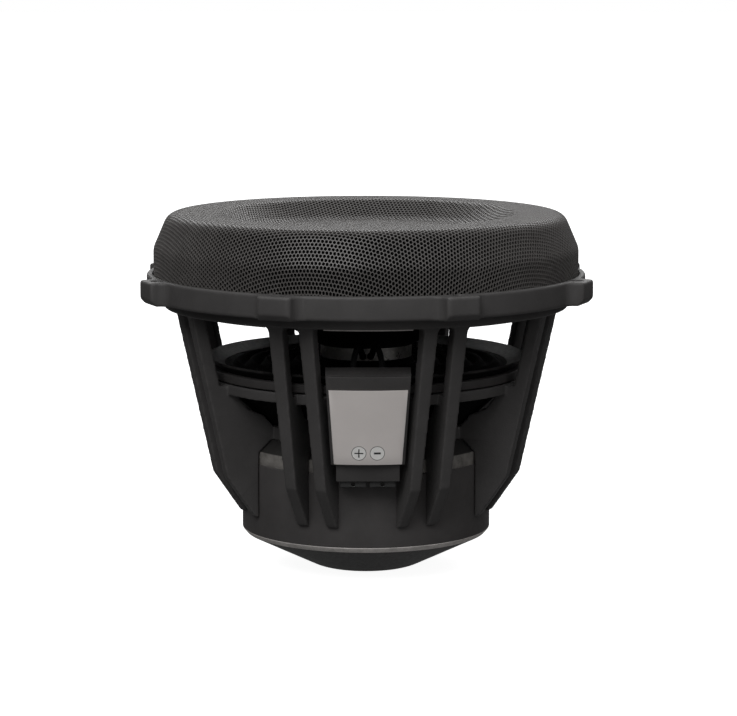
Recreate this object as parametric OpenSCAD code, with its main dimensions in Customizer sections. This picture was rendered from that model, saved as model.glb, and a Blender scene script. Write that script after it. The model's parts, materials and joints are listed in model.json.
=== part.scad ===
// Car subwoofer speaker: a 12 inch driver with a cast basket, a double magnet motor,
// a dual voice coil, two push-terminal blocks and a perforated steel grille.
// Millimetres. +Z points to the listening side. The origin is the centre of the bolt
// circle on the flange's rear face. The first terminal block faces -Y.

/* [Flange] */
// Radius of the flange ring
flange_r = 151.5; // [150:0.5:153]
// Height of the flange ring above its rear face
flange_h = 16.2; // [15.5:0.1:17]
// Diameter of the bolt circle
bolt_pcd = 304; // [303:0.5:305]
// Radius of each bolt hole
bolt_hole_r = 2.8; // [2.5:0.1:3]
// Radius of the recess for each bolt head
bolt_head_r = 4.2; // [4:0.1:4.3]
// Distance from the axis to the flat outer face of an ear
ear_reach = 161.5; // [160:0.5:163]
// Half of the width of an ear
ear_half_w = 12; // [11:0.5:13]

/* [Basket] */
// Number of ears, and of fin pairs
pair_count = 8; // [8]
// Thickness of a fin at its top
fin_top_t = 10; // [9:0.5:11]
// Thickness of a fin at its tip
fin_tip_t = 8; // [7:0.5:9]
// Distance from the middle plane of a pair to the middle of each fin
fin_offset = 10.7; // [10.5:0.1:11.5]
// Height of the spider shelf's top face
shelf_z = -55; // [-56:0.5:-54]
// Outer radius of the spider shelf
shelf_r = 109; // [107:0.5:109]

/* [Motor] */
// Outer radius of the motor cover
cover_r = 86.3; // [85.8:0.1:86.5]
// Height of the top plate's top face
motor_top_z = -95; // [-95.5:0.1:-94.8]
// Height of the top plate's bottom face
plate_bottom_z = -111.7; // [-112:0.1:-111]
// Height of the bottom cap's lowest face
base_z = -189.5; // [-191:0.5:-187]
// Radius of the pole piece
pole_r = 30.9; // [30.5:0.1:30.9]
// Radius of the vent through the pole and the bottom cap
vent_r = 14; // [10:0.5:16]

/* [Moving parts] */
// Outer radius of the voice coil former
former_r = 31.75; // [31.7:0.05:31.8]
// Height of the voice coil winding
winding_h = 40; // [36:1:42]
// Radius of the cone at its outer edge
cone_r = 100; // [99:0.5:100.5]
// Angle of the cone above the horizontal
cone_angle = 30; // [29:0.5:31]

/* [Grille] */
// Outer radius of the grille's wall
grille_r = 146.7; // [146.5:0.1:146.8]
// Height of the grille's flat ring
grille_top_z = 57.2; // [56:0.2:58]
// Depth of the dish in the middle of the grille
dish_depth = 12.7; // [10:0.1:14]
// Thickness of the perforated steel
grille_t = 1.2; // [1:0.1:1.5]

/* [Terminals] */
// Width of a terminal block at its top
block_top_w = 56; // [54:0.5:56]
// Width of a terminal block at the bottom of its cover
block_low_w = 49; // [47:0.5:49]
// Wall thickness of a terminal block
block_wall = 1.6; // [1.4:0.1:1.8]
// Travel of a push tab
tab_travel = 3; // [2:0.5:3.5]

/* [Hidden] */
$fn = 96;
eps = 0.01;
far = 400;

// Sides of the blocks, and of the pieces in each block
front = 0;
rear = 180;
pos = -1;
neg = 1;

// Flange: floor of the grille recess, recess radius, and the ring below the rear face
pair_step = 360 / pair_count;
recess_r = 147.3;
floor_z = 6;
hub_r = 140;
hub_bore_r = 127;
hub_z = -7;
edge = 1;
ear_blend_r = 8;
ear_corner_r = 3;
ear_chamfer = 4;
bolt_head_depth = 4;

// Fins: outer edge from the flange to the bend and the tip
fin_top_r = 134;
fin_bend = [108.5, -119];
fin_tip = [89, -147];
fin_depth = 9.5;
fin_fillet_r = 4;
shelf_in_r = 98;
shelf_h = 7;
seat_in_r = 45;
seat_out_r = 76;
seat_h = 9;
motor_gap = 0.5;

// Motor stack
plate_r = 85.6;
plate_top_r = 77.5;
plate_chamfer_z = motor_top_z - 8;
gap_bore_r = 35.2;
magnet_bottom_z = -150;
magnet_mid_z = (plate_bottom_z + magnet_bottom_z) / 2;
magnet_in_r = 45;
magnet_out_r = 80;
cover_wall = 2;
cover_bottom_z = -161.5;
back_bottom_z = -165.2;
back_rim_r = 83.6;
cap_slope = 26;
cap_blend_r = 27;
cap_wall = 3;
screw_circle_r = 66;
screw_r = 2.5;
screw_head_r = 4.25;
screw_fit = 0.1;

// Moving assembly
former_wall = 0.4;
former_top_z = -30;
winding_mid_z = (motor_top_z + plate_bottom_z) / 2;
winding_wall = 1.2;
glue = 0.05;
neck_z = -33.7;
neck_r = 33.1;
cone_t = 1.4;
cone_rim_z = neck_z + (cone_r - neck_r) * tan(cone_angle);
cap_r = 61;
dust_cap_z = 6;
roll_in_r = 99.5;
roll_out_r = 135.5;
surround_t = 1.4;
lip_r = 143.8;
clamp_fit = 0.1;
spider_t = 0.8;
spacer_h = 5.8;
spider_r = 103.6;
spider_pitch = 10.2;
spider_swing = 2.6;
bowl_r = 110.5;
bowl_z = -41.6;
notch_r = 104.6;

// Terminal block, seen from the side: distance from the axis, height
block_top_z = -36;
block_top_slope = 0.1545;
hood_r = 105;
hood_z = -42.8;
block_back_r = 109.5;
block_back_z = -64;
face_top = [127, -39.4];
face_low = [110.2, -100.7];
nose_w = 42;
nose_bottom_z = -112.6;
nose_back_r = 95;
nose_front_r = 103.5;
nose_root_z = -90;
terminal_screw_x = 15;
cover_t = 2.2;
label_t = 0.8;
label_top_w = 52;
label_low_w = 45;
label_top_z = -48.6;
label_low_z = -100.2;
tab_x = 9.75;
tab_w = 17.1;
tab_d = 4.7;
tab_mid_r = 99.2;
tab_top_z = -103;
slot_top_z = tab_top_z + tab_travel + 5.5;
tab_bottom_z = -117;
tab_fit = 0.3;
wire_hole_r = 1.4;
wire_hole_z = -115;
contact_z = -96.3;
contact_t = 0.8;
lead_x = 10;
lead_z = -39.4;
lead_r = 2.1;
bushing_l = 5;

// Route of the lead on the +X side of the front block, from its bushing to the former
LEAD_ROUTE = [
    [10, -99.6, -39.4], [9.9, -97, -38.4], [9.3, -93, -34], [8.1, -88, -29], [6.6, -81, -26.4],
    [5.3, -73, -27], [4.2, -64, -30.5], [3.3, -54, -34.8], [2.7, -44, -37.8], [2.5, -37, -38.6],
    [2.5, -32.4, -38.6]
];

// ---------- Helpers ----------

function unit(v) = v / norm(v);

// Points of a corner at b, rounded with radius r, between the directions to a and c
function corner(a, b, c, r, n) =
    let (u = unit(a - b), v = unit(c - b), half = acos(u * v) / 2)
    let (m = b + unit(u + v) * r / sin(half), s = b + u * r / tan(half), e = b + v * r / tan(half))
    let (a0 = atan2(s.y - m.y, s.x - m.x), a1 = atan2(e.y - m.y, e.x - m.x))
    let (turn = (a1 - a0 > 180) ? a1 - a0 - 360 : (a1 - a0 < -180) ? a1 - a0 + 360 : a1 - a0)
    [for (i = [0:n]) m + r * [cos(a0 + turn * i / n), sin(a0 + turn * i / n)]];

// An open line of [x, y, radius] points with its inner corners rounded
function rounded(p, n = 8) = [
    for (i = [0:len(p) - 1])
        let (b = [p[i].x, p[i].y])
        if (i == 0 || i == len(p) - 1 || p[i].z == 0) b
        else each corner([p[i - 1].x, p[i - 1].y], b, [p[i + 1].x, p[i + 1].y], p[i].z, n)
];

// The same line moved sideways by d, to its right, and never across the axis
function shifted(p, d) = [
    for (i = [0:len(p) - 1])
        let (a = p[max(i - 1, 0)], b = p[min(i + 1, len(p) - 1)], t = unit(b - a))
        let (q = p[i] + d * [t.y, -t.x])
        [max(q.x, 0), q.y]
];

function backwards(p) = [for (i = [len(p) - 1:-1:0]) p[i]];

// A closed wall of thickness t on the right-hand side of a line
function wall(p, t) = concat(p, backwards(shifted(p, t)));

module revolve(points) {
    rotate_extrude() polygon(points);
}

module ring(r_out, r_in, z_low, z_high) {
    difference() {
        translate([0, 0, z_low]) cylinder(r = r_out, h = z_high - z_low);
        translate([0, 0, z_low - 1]) cylinder(r = r_in, h = z_high - z_low + 2);
    }
}

// A plate whose outline is [distance towards -Y, height], centred across X
module side_plate(points, thickness) {
    rotate([90, 0, -90]) linear_extrude(height = thickness, center = true) polygon(points);
}

// A prism along -Y whose outline is [x, z]
module front_prism(points) {
    rotate([90, 0, 0]) linear_extrude(height = far) polygon(points);
}

module at_pairs() {
    for (i = [0:pair_count - 1]) rotate([0, 0, pair_step * (i + 0.5)]) children();
}

module block_cone(r_shift) {
    slope = (face_top.x - face_low.x) / (face_top.y - face_low.y);
    rise = 20;
    translate([0, 0, face_low.y - rise])
        cylinder(
            r1 = face_low.x - rise * slope + r_shift,
            r2 = face_top.x + rise * slope + r_shift,
            h = face_top.y - face_low.y + 2 * rise
        );
}

// ---------- Basket ----------

module flange_ring() {
    revolve([
        [hub_bore_r, floor_z], [hub_bore_r, hub_z + edge], [hub_bore_r + edge, hub_z],
        [hub_r - edge, hub_z], [hub_r, hub_z + edge], [hub_r, 0], [flange_r - edge, 0],
        [flange_r, edge], [flange_r, flange_h - edge], [flange_r - edge, flange_h],
        [recess_r, flange_h], [recess_r, floor_z]
    ]);
}

function ear_side() =
    let (ring_r = flange_r - 0.15, y = ear_half_w + ear_blend_r)
    let (x = sqrt(pow(ring_r + ear_blend_r, 2) - y * y))
    let (foot = ring_r / (ring_r + ear_blend_r) * [x, y], root = [recess_r + 1.7, foot.y - 2])
    concat(
        [root],
        [
            for (i = [0:6])
                let (a0 = atan2(foot.y - y, foot.x - x), a = a0 + (-90 - a0) * i / 6)
                [x, y] + ear_blend_r * [cos(a), sin(a)]
        ],
        corner([x, ear_half_w], [ear_reach, ear_half_w], [ear_reach, 0], ear_corner_r, 5)
    );

module ear() {
    side = ear_side();
    plan = concat(side, [for (p = backwards(side)) [p.x, -p.y]]);
    top_z = flange_h - 0.15;
    intersection() {
        rotate([0, 0, -90]) linear_extrude(height = flange_h) polygon(plan);
        side_plate([
            [recess_r - 16, 0], [ear_reach - ear_chamfer, 0], [ear_reach, ear_chamfer],
            [ear_reach, top_z - edge], [ear_reach - edge, top_z], [recess_r - 16, top_z]
        ], 4 * ear_half_w);
    }
}

module fin() {
    shelf_low = shelf_z - shelf_h;
    sink = 0.15;
    lean = (fin_top_r - fin_bend.x) / (hub_z - fin_bend.y);
    root_r = fin_top_r - hub_z * lean;
    step_r = fin_top_r - fin_depth + (shelf_z - hub_z) * lean;
    outline = [
        [root_r, 0], fin_bend, fin_tip, [fin_tip.x - 1.5, fin_tip.y - 1],
        [seat_out_r - 8, fin_tip.y - 1], [seat_out_r - 8, motor_top_z + seat_h - 3],
        [seat_out_r - 3, motor_top_z + seat_h - 2], [82, -77.5], [93, -73],
        [103, shelf_low + 2], [104, shelf_z - 1], [step_r, shelf_z - 1], [root_r - fin_depth, 0]
    ];
    half = [
        [fin_top_t / 2 + fin_fillet_r, 1],
        each corner(
            [fin_top_t / 2 + fin_fillet_r, hub_z + sink], [fin_top_t / 2, hub_z + sink],
            [fin_top_t / 2, hub_z - fin_fillet_r], fin_fillet_r, 5
        ),
        [fin_tip_t / 2, fin_bend.y], [fin_tip_t / 2, fin_tip.y - 4]
    ];
    intersection() {
        side_plate(outline, 3 * fin_top_t);
        front_prism(concat(half, [for (p = backwards(half)) [-p.x, p.y]]));
    }
}

// The space of the motor, with a small gap round it
module motor_space() {
    revolve([
        [0, motor_top_z], [plate_top_r, motor_top_z], [plate_r + motor_gap, plate_chamfer_z],
        [cover_r + motor_gap, plate_chamfer_z - 1.5], [cover_r + motor_gap, base_z], [0, base_z]
    ]);
}

module terminal_pad() {
    pad_w = 36;
    translate([-pad_w / 2, -block_back_r, shelf_z - shelf_h])
        cube([pad_w, block_back_r - shelf_in_r - 4, shelf_h]);
}

module terminal_screw_holes(r, depth) {
    for (x = [-terminal_screw_x, terminal_screw_x])
        translate([x, -block_back_r + depth, shelf_z - shelf_h / 2])
            rotate([90, 0, 0]) cylinder(r = r, h = depth + eps);
}

module basket() {
    color([0.13, 0.125, 0.12]) difference() {
        union() {
            flange_ring();
            at_pairs() ear();
            at_pairs() for (s = [-1, 1]) translate([s * fin_offset, 0, 0]) fin();
            ring(shelf_r, shelf_in_r, shelf_z - shelf_h, shelf_z);
            ring(seat_out_r, seat_in_r, motor_top_z, motor_top_z + seat_h);
            for (a = [front, rear]) rotate([0, 0, a]) terminal_pad();
        }
        motor_space();
        translate([0, 0, floor_z]) cylinder(r = recess_r, h = far);
        at_pairs() translate([0, -bolt_pcd / 2, -1]) cylinder(r = bolt_hole_r, h = far);
        at_pairs() translate([0, -bolt_pcd / 2, flange_h - bolt_head_depth])
            cylinder(r = bolt_head_r, h = far);
        for (i = [0:pair_count - 1]) rotate([0, 0, pair_step * i])
            translate([0, -screw_circle_r, motor_top_z - 1])
                cylinder(r = screw_r + screw_fit, h = seat_h + 2);
        for (a = [front, rear]) rotate([0, 0, a]) terminal_screw_holes(1.3, 6);
    }
}

// A thin bare ring under the flange's bore, between the fin pairs
module bore_ring() {
    pair_w = 2 * (fin_offset + fin_top_t);
    color([0.6, 0.59, 0.57]) difference() {
        ring(hub_bore_r + 1.4, hub_bore_r + 0.2, hub_z - 2, hub_z);
        at_pairs() translate([-pair_w / 2, -far, hub_z - 3]) cube([pair_w, far, 4]);
    }
}

// Black cloth behind the fins, from the spider shelf to the seat
module dust_screen() {
    shelf_low = shelf_z - shelf_h;
    color([0.03, 0.03, 0.03]) revolve(wall([
        [shelf_in_r - glue, shelf_low + 3], [shelf_in_r - glue, shelf_low - 0.4],
        [seat_out_r - 3.4, motor_top_z + seat_h + glue]
    ], 0.5));
}

// ---------- Grille and front rings ----------

function grille_line() = rounded([
    [0, grille_top_z - dish_depth, 0], [84.3, grille_top_z - dish_depth, 20],
    [102.4, grille_top_z, 8], [136.4, grille_top_z, 9.7], [grille_r, 33.4, 14],
    [grille_r, floor_z + 1.9, 0]
], 10);

module grille() {
    color([0.09, 0.09, 0.09]) revolve(wall(grille_line(), grille_t));
}

module grille_seal() {
    color([0.05, 0.05, 0.05]) ring(grille_r + 0.4, grille_r - 1.8, floor_z, floor_z + 1.8);
}

module surround_clamp_ring() {
    inner = roll_out_r + 1.2;
    low = floor_z + surround_t + 2 * clamp_fit;
    color([0.08, 0.08, 0.08]) revolve([
        [inner, low], [lip_r, low], [lip_r, low + 3.2], [lip_r - 0.8, low + 4],
        [inner + 1.6, low + 4], [inner, low + 2.4]
    ]);
}

// The ring over the spiders: a shallow bowl with a lip, notched at the terminal blocks
module spider_clamp_ring() {
    low = shelf_z + 2 * (spider_t + 2 * clamp_fit) + spacer_h - clamp_fit;
    notch_w = block_top_w + 4;
    color([0.1, 0.1, 0.1]) difference() {
        revolve([
            [shelf_in_r, low], [105, low], [105.4, low + 1.5], [108.8, bowl_z - 1.9],
            [bowl_r, bowl_z - 1.2], [bowl_r, bowl_z - 0.3], [bowl_r - 0.5, bowl_z],
            [109.3, bowl_z], [103.4, bowl_z - 3.6], [shelf_in_r, low + 0.6]
        ]);
        for (a = [front, rear]) rotate([0, 0, a])
            translate([-notch_w / 2, -far, low - 1]) cube([notch_w, far - notch_r, 20]);
    }
}

module spider_spacer() {
    low = shelf_z + spider_t + 2 * clamp_fit;
    high = low + spacer_h - clamp_fit;
    color([0.1, 0.1, 0.1]) revolve([
        [shelf_in_r, low], [shelf_r - 0.5, low], [shelf_r, low + 0.5], [shelf_r, high - 0.5],
        [shelf_r - 0.5, high], [shelf_in_r, high]
    ]);
}

// ---------- Motor ----------

module top_plate() {
    color([0.2, 0.195, 0.19]) difference() {
        revolve([
            [gap_bore_r, motor_top_z], [plate_top_r - 0.5, motor_top_z], [plate_r, plate_chamfer_z],
            [plate_r, plate_bottom_z], [gap_bore_r, plate_bottom_z]
        ]);
        for (i = [0:pair_count - 1]) rotate([0, 0, pair_step * i])
            translate([0, -screw_circle_r, motor_top_z - 10])
                cylinder(r = screw_r + screw_fit, h = 20);
    }
}

module magnet_upper() {
    color([0.16, 0.16, 0.17]) ring(magnet_out_r, magnet_in_r, magnet_mid_z, plate_bottom_z);
}

module magnet_lower() {
    color([0.16, 0.16, 0.17]) ring(magnet_out_r, magnet_in_r, magnet_bottom_z, magnet_mid_z);
}

module motor_cover() {
    color([0.12, 0.12, 0.12]) revolve([
        [cover_r - cover_wall, plate_bottom_z], [cover_r - 0.6, plate_bottom_z],
        [cover_r, plate_bottom_z - 0.6], [cover_r, cover_bottom_z],
        [cover_r - cover_wall, cover_bottom_z]
    ]);
}

module back_plate() {
    inside_r = cover_r - cover_wall - 0.3;
    color([0.42, 0.41, 0.4]) revolve([
        [pole_r, magnet_bottom_z], [inside_r, magnet_bottom_z], [inside_r, cover_bottom_z],
        [cover_r, cover_bottom_z], [cover_r, cover_bottom_z - 0.5], [back_rim_r, back_bottom_z],
        [pole_r, back_bottom_z]
    ]);
}

module pole_piece() {
    color([0.3, 0.3, 0.31]) revolve([
        [vent_r, motor_top_z], [vent_r + 4, motor_top_z + 2], [pole_r - 1, motor_top_z + 2],
        [pole_r, motor_top_z + 1], [pole_r, back_bottom_z], [vent_r, back_bottom_z]
    ]);
}

module shorting_ring() {
    color([0.72, 0.45, 0.2]) ring(magnet_in_r - 0.4, pole_r + glue, magnet_bottom_z, magnet_bottom_z + 4);
}

module bottom_cap() {
    knee_r = back_rim_r - (back_bottom_z - base_z) / tan(cap_slope);
    outer = rounded([
        [vent_r, base_z, 0], [knee_r, base_z, cap_blend_r], [back_rim_r, back_bottom_z, 0]
    ], 12);
    flat_top = base_z + cap_wall;
    inner_knee = knee_r + 3;
    color([0.1, 0.1, 0.1]) revolve(concat(outer, [
        [back_rim_r - 8, back_bottom_z], [inner_knee, flat_top + 1],
        [vent_r + 3, flat_top], [vent_r + 3, back_bottom_z], [vent_r, back_bottom_z]
    ]));
}

module vent_screen() {
    bars = 5;
    pitch = 4.6;
    screen_z = base_z + 3;
    color([0.06, 0.06, 0.06]) difference() {
        translate([0, 0, screen_z]) cylinder(r = vent_r - glue, h = 1.2);
        for (i = [-bars:bars], j = [-bars:bars])
            let (x = pitch * (i + (abs(j) % 2) / 2), y = pitch * 0.866 * j)
            if (norm([x, y]) < vent_r - 2.6)
                translate([x, y, screen_z - 1]) cylinder(r = 1.6, h = 4, $fn = 24);
    }
}

module motor_screws() {
    socket_r = 2;
    color([0.2, 0.2, 0.2]) for (i = [0:pair_count - 1]) rotate([0, 0, pair_step * i])
        translate([0, -screw_circle_r, motor_top_z + seat_h]) difference() {
            union() {
                cylinder(r = screw_head_r, h = 3.6);
                translate([0, 0, -seat_h - 9]) cylinder(r = screw_r, h = seat_h + 9 + eps);
            }
            translate([0, 0, 1.6]) cylinder(r = socket_r, h = 4, $fn = 6);
        }
}

// ---------- Moving assembly ----------

module cone() {
    top = cone_t / cos(cone_angle);
    rim = 1.5;
    color([0.05, 0.05, 0.05]) revolve([
        [former_r + glue, neck_z], [neck_r, neck_z], [cone_r, cone_rim_z], [cone_r + rim, cone_rim_z],
        [cone_r + rim, cone_rim_z + cone_t], [cone_r - 0.3, cone_rim_z + cone_t],
        [former_r + glue, neck_z + top]
    ]);
}

module dust_cap() {
    foot_z = neck_z + (cap_r - former_r) * tan(cone_angle) + cone_t / cos(cone_angle) + 0.1;
    rise = dust_cap_z - foot_z;
    dome_r = (cap_r * cap_r + rise * rise) / (2 * rise);
    edge_angle = asin(cap_r / dome_r);
    line = [
        for (i = [0:16])
            let (a = edge_angle * i / 16)
            [dome_r * sin(a), dust_cap_z - dome_r * (1 - cos(a))]
    ];
    color([0.05, 0.05, 0.05]) revolve(wall(line, 1));
}

module coil_former() {
    bottom = winding_mid_z - winding_h / 2;
    color([0.72, 0.71, 0.7]) ring(former_r, former_r - former_wall, bottom, former_top_z);
}

module winding(layer) {
    inside = former_r + glue + layer * (winding_wall + glue);
    low = winding_mid_z - winding_h / 2;
    color([0.72, 0.42, 0.2]) ring(inside + winding_wall, inside, low, low + winding_h);
}

module surround() {
    mid_r = (roll_in_r + roll_out_r) / 2;
    roll_r = (roll_out_r - roll_in_r) / 2;
    low = cone_rim_z + cone_t + glue;
    lip = floor_z + clamp_fit;
    top = lip + surround_t;
    line = concat(
        [[cone_r - 3, low + surround_t]],
        [
            for (i = [0:24])
                let (a = 180 - 180 * i / 24, drop = low + surround_t - top)
                [mid_r + roll_r * cos(a), low + surround_t - drop * i / 24 + roll_r * sin(a)]
        ],
        [[lip_r - 0.2, top]]
    );
    color([0.06, 0.06, 0.06]) revolve(wall(line, surround_t));
}

// A corrugated disc, clamped at its edge and glued to the former at its collar
module spider(flange_z) {
    first_r = 36;
    last_r = 96.6;
    steps = 60;
    collar_h = 5;
    mid = flange_z + spider_t;
    line = concat(
        [[former_r + glue, mid + collar_h], [former_r + glue + spider_t, mid + collar_h]],
        [
            for (i = [0:steps])
                let (r = first_r + (last_r - first_r) * i / steps)
                let (fade = min(1, (last_r - r) / 5, (r - first_r + 1) / 4))
                [r, mid + spider_swing * fade * sin(360 * (r - first_r) / spider_pitch)]
        ],
        [[spider_r, mid]]
    );
    low = concat(
        [
            for (i = [len(line) - 1:-1:2]) line[i] - [0, spider_t]
        ],
        [[former_r + glue, mid - spider_t]]
    );
    color([0.07, 0.065, 0.06]) revolve(concat(line, low));
}

module spider_upper() {
    spider(shelf_z + spider_t + 3 * clamp_fit + spacer_h);
}

module spider_lower() {
    spider(shelf_z + clamp_fit);
}

// ---------- Terminal blocks, built facing -Y ----------

module block_front(inset) {
    top = block_top_w / 2 + (block_top_z - face_top.y) * 0.06 - inset;
    front_prism([
        [-block_low_w / 2 + inset, face_low.y], [block_low_w / 2 - inset, face_low.y],
        [top, block_top_z], [-top, block_top_z]
    ]);
}

module terminal_housing() {
    reach = 131;
    w = block_wall;
    top_at = [for (r = [hood_r, reach, hood_r + w]) block_top_z - (r - hood_r) * block_top_slope];
    color([0.11, 0.11, 0.11]) difference() {
        union() {
            intersection() {
                side_plate([
                    [hood_r, top_at[0]], [reach, top_at[1]], [reach, face_low.y], [104, face_low.y],
                    [block_back_r, block_back_z], [block_back_r, hood_z], [hood_r, hood_z]
                ], 2 * block_top_w);
                block_front(0);
                block_cone(-cover_t);
            }
            side_plate([
                [nose_back_r, nose_bottom_z], [nose_front_r, nose_bottom_z], [106, face_low.y],
                [106, nose_root_z], [nose_back_r + 3, nose_root_z],
                [nose_back_r, nose_root_z - 3]
            ], nose_w);
        }
        intersection() {
            side_plate([
                [hood_r + w, top_at[2] - w], [reach, top_at[1] - w], [reach, face_low.y + w],
                [104 + 3, face_low.y + w], [block_back_r + w, block_back_z],
                [block_back_r + w, hood_z + w], [hood_r + w, hood_z + w]
            ], 2 * block_top_w);
            block_front(w);
        }
        for (s = [pos, neg]) {
            translate([s * tab_x - tab_w / 2 - tab_fit, -tab_mid_r - tab_d / 2 - tab_fit, -far])
                cube([tab_w + 2 * tab_fit, tab_d + 2 * tab_fit, far + slot_top_z]);
            translate([s * tab_x - 3, -110, contact_z - 0.2]) cube([6, 12, contact_t + 0.4]);
            translate([s * lead_x, -hood_r - 4, lead_z]) rotate([-90, 0, 0])
                cylinder(r = lead_r - 0.3, h = 10);
        }
        translate([0, -4, 0]) terminal_screw_holes(1.6, 4);
    }
}

module terminal_cover() {
    top = face_top.y - block_top_slope * 0.4;
    color([0.11, 0.11, 0.11]) intersection() {
        difference() {
            block_cone(0);
            block_cone(-cover_t);
        }
        block_front(0);
        translate([-block_top_w, -far, face_low.y]) cube([2 * block_top_w, far, top - face_low.y]);
    }
}

module label_plate() {
    color([0.74, 0.72, 0.7]) intersection() {
        difference() {
            block_cone(label_t);
            block_cone(0);
        }
        front_prism([
            [-label_low_w / 2, label_low_z], [label_low_w / 2, label_low_z],
            [label_top_w / 2, label_top_z], [-label_top_w / 2, label_top_z]
        ]);
    }
}

// Contact strips: down the back wall, then over the springs of the push tabs
module terminal_contacts() {
    strip_w = 5;
    strip_r = block_back_r + block_wall + 1.2;
    strip_top_z = -50;
    foot_r = 107.7;
    tip_r = 97.6;
    color([0.8, 0.65, 0.3]) for (s = [pos, neg]) translate([s * tab_x, 0, 0]) side_plate([
        [strip_r, strip_top_z], [strip_r + contact_t, strip_top_z],
        [strip_r + contact_t, block_back_z], [foot_r + contact_t, contact_z],
        [tip_r, contact_z], [tip_r, contact_z + contact_t],
        [foot_r, contact_z + contact_t], [strip_r, block_back_z]
    ], strip_w);
}

module terminal_screws() {
    head = 1.8;
    color([0.5, 0.5, 0.5]) for (x = [-terminal_screw_x, terminal_screw_x])
        translate([x, -block_back_r, shelf_z - shelf_h / 2]) rotate([90, 0, 0]) {
            translate([0, 0, -5]) cylinder(r = 1.2, h = 5 + block_wall + eps);
            translate([0, 0, block_wall]) cylinder(r = 2.4, h = head);
        }
}

module lead_bushings() {
    color([0.05, 0.05, 0.05]) for (s = [pos, neg])
        translate([s * lead_x, -hood_r, lead_z]) rotate([-90, 0, 0]) difference() {
            cylinder(r1 = 3.4, r2 = 2.9, h = bushing_l);
            translate([0, 0, -1]) cylinder(r = lead_r + 0.1, h = bushing_l + 2);
        }
}

module push_tab(s) {
    color([0.16, 0.16, 0.16]) translate([s * tab_x, 0, 0]) difference() {
        translate([-tab_w / 2, -tab_mid_r - tab_d / 2, tab_bottom_z])
            cube([tab_w, tab_d, tab_top_z - tab_bottom_z]);
        translate([0, -tab_mid_r - tab_d, wire_hole_z]) rotate([-90, 0, 0])
            cylinder(r = wire_hole_r, h = 2 * tab_d);
    }
}

// A coil spring between the push tab and the contact strip
module tab_spring(s) {
    coil_r = 1.6;
    wire_r = 0.3;
    turns = 4;
    per_turn = 10;
    sides = 6;
    low = tab_top_z + wire_r + 0.1;
    high = contact_z - wire_r - 0.1;
    count = turns * per_turn;
    points = [
        for (i = [0:count], k = [0:sides - 1])
            let (a = 360 * i / per_turn, b = 360 * k / sides, r = coil_r + wire_r * cos(b))
            [r * cos(a), r * sin(a), low + (high - low) * i / count + wire_r * sin(b)]
    ];
    faces = concat(
        [[for (k = [sides - 1:-1:0]) k]],
        [
            for (i = [0:count - 1], k = [0:sides - 1])
                let (n = (k + 1) % sides, a = i * sides, b = a + sides)
                each [[a + k, a + n, b + n], [a + k, b + n, b + k]]
        ],
        [[for (k = [0:sides - 1]) count * sides + k]]
    );
    color([0.6, 0.6, 0.6]) translate([s * tab_x, -tab_mid_r, 0]) polyhedron(points, faces);
}

function lead_direction(p, i) = unit(p[min(i + 1, len(p) - 1)] - p[max(i - 1, 0)]);

// Points on a smooth curve through the route's points
function curve_at(p, i, t) =
    let (a = p[max(i - 1, 0)], b = p[i], c = p[i + 1], d = p[min(i + 2, len(p) - 1)])
    0.5 * (2 * b + (c - a) * t + (2 * a - 5 * b + 4 * c - d) * t * t
        + (3 * b - a - 3 * c + d) * t * t * t);

// A sleeved tinsel lead, as a tube along its route
module lead(s) {
    sides = 8;
    per_span = 3;
    last = len(LEAD_ROUTE) - 1;
    path = concat(
        [
            for (i = [0:last - 1], j = [0:per_span - 1]) curve_at(LEAD_ROUTE, i, j / per_span)
        ],
        [LEAD_ROUTE[last]]
    );
    points = [
        for (i = [0:len(path) - 1], k = [0:sides - 1])
            let (d = lead_direction(path, i), u = unit(cross(d, [1, 0, 0])), v = cross(d, u))
            path[i] + lead_r * (u * cos(360 * k / sides) + v * sin(360 * k / sides))
    ];
    rings = len(path) - 1;
    faces = concat(
        [[for (k = [0:sides - 1]) k]],
        [
            for (i = [0:rings - 1], k = [0:sides - 1])
                let (n = (k + 1) % sides, a = i * sides, b = a + sides)
                each [[a + k, b + k, b + n], [a + k, b + n, a + n]]
        ],
        [[for (k = [sides - 1:-1:0]) rings * sides + k]]
    );
    color([0.05, 0.05, 0.05]) scale([s, 1, 1]) polyhedron(points, faces);
}

module turned(a) {
    rotate([0, 0, a]) children();
}

basket();
bore_ring();
dust_screen();
grille();
grille_seal();
surround_clamp_ring();
spider_clamp_ring();
spider_spacer();
top_plate();
magnet_upper();
magnet_lower();
motor_cover();
back_plate();
pole_piece();
shorting_ring();
bottom_cap();
vent_screen();
motor_screws();
cone();
dust_cap();
coil_former();
winding(0);  // winding_inner
winding(1);  // winding_outer
surround();
spider_upper();
spider_lower();
turned(front) terminal_housing();  // terminal_housing_front
turned(front) terminal_cover();  // terminal_cover_front
turned(front) label_plate();  // label_plate_front
turned(front) terminal_contacts();  // terminal_contacts_front
turned(front) terminal_screws();  // terminal_screws_front
turned(front) lead_bushings();  // lead_bushings_front
turned(front) push_tab(pos);  // push_tab_front_pos
turned(front) push_tab(neg);  // push_tab_front_neg
turned(front) tab_spring(pos);  // tab_spring_front_pos
turned(front) tab_spring(neg);  // tab_spring_front_neg
turned(front) lead(pos);  // lead_front_pos
turned(front) lead(neg);  // lead_front_neg
turned(rear) terminal_housing();  // terminal_housing_rear
turned(rear) terminal_cover();  // terminal_cover_rear
turned(rear) label_plate();  // label_plate_rear
turned(rear) terminal_contacts();  // terminal_contacts_rear
turned(rear) terminal_screws();  // terminal_screws_rear
turned(rear) lead_bushings();  // lead_bushings_rear
turned(rear) push_tab(pos);  // push_tab_rear_pos
turned(rear) push_tab(neg);  // push_tab_rear_neg
turned(rear) tab_spring(pos);  // tab_spring_rear_pos
turned(rear) tab_spring(neg);  // tab_spring_rear_neg
turned(rear) lead(pos);  // lead_rear_pos
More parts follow.
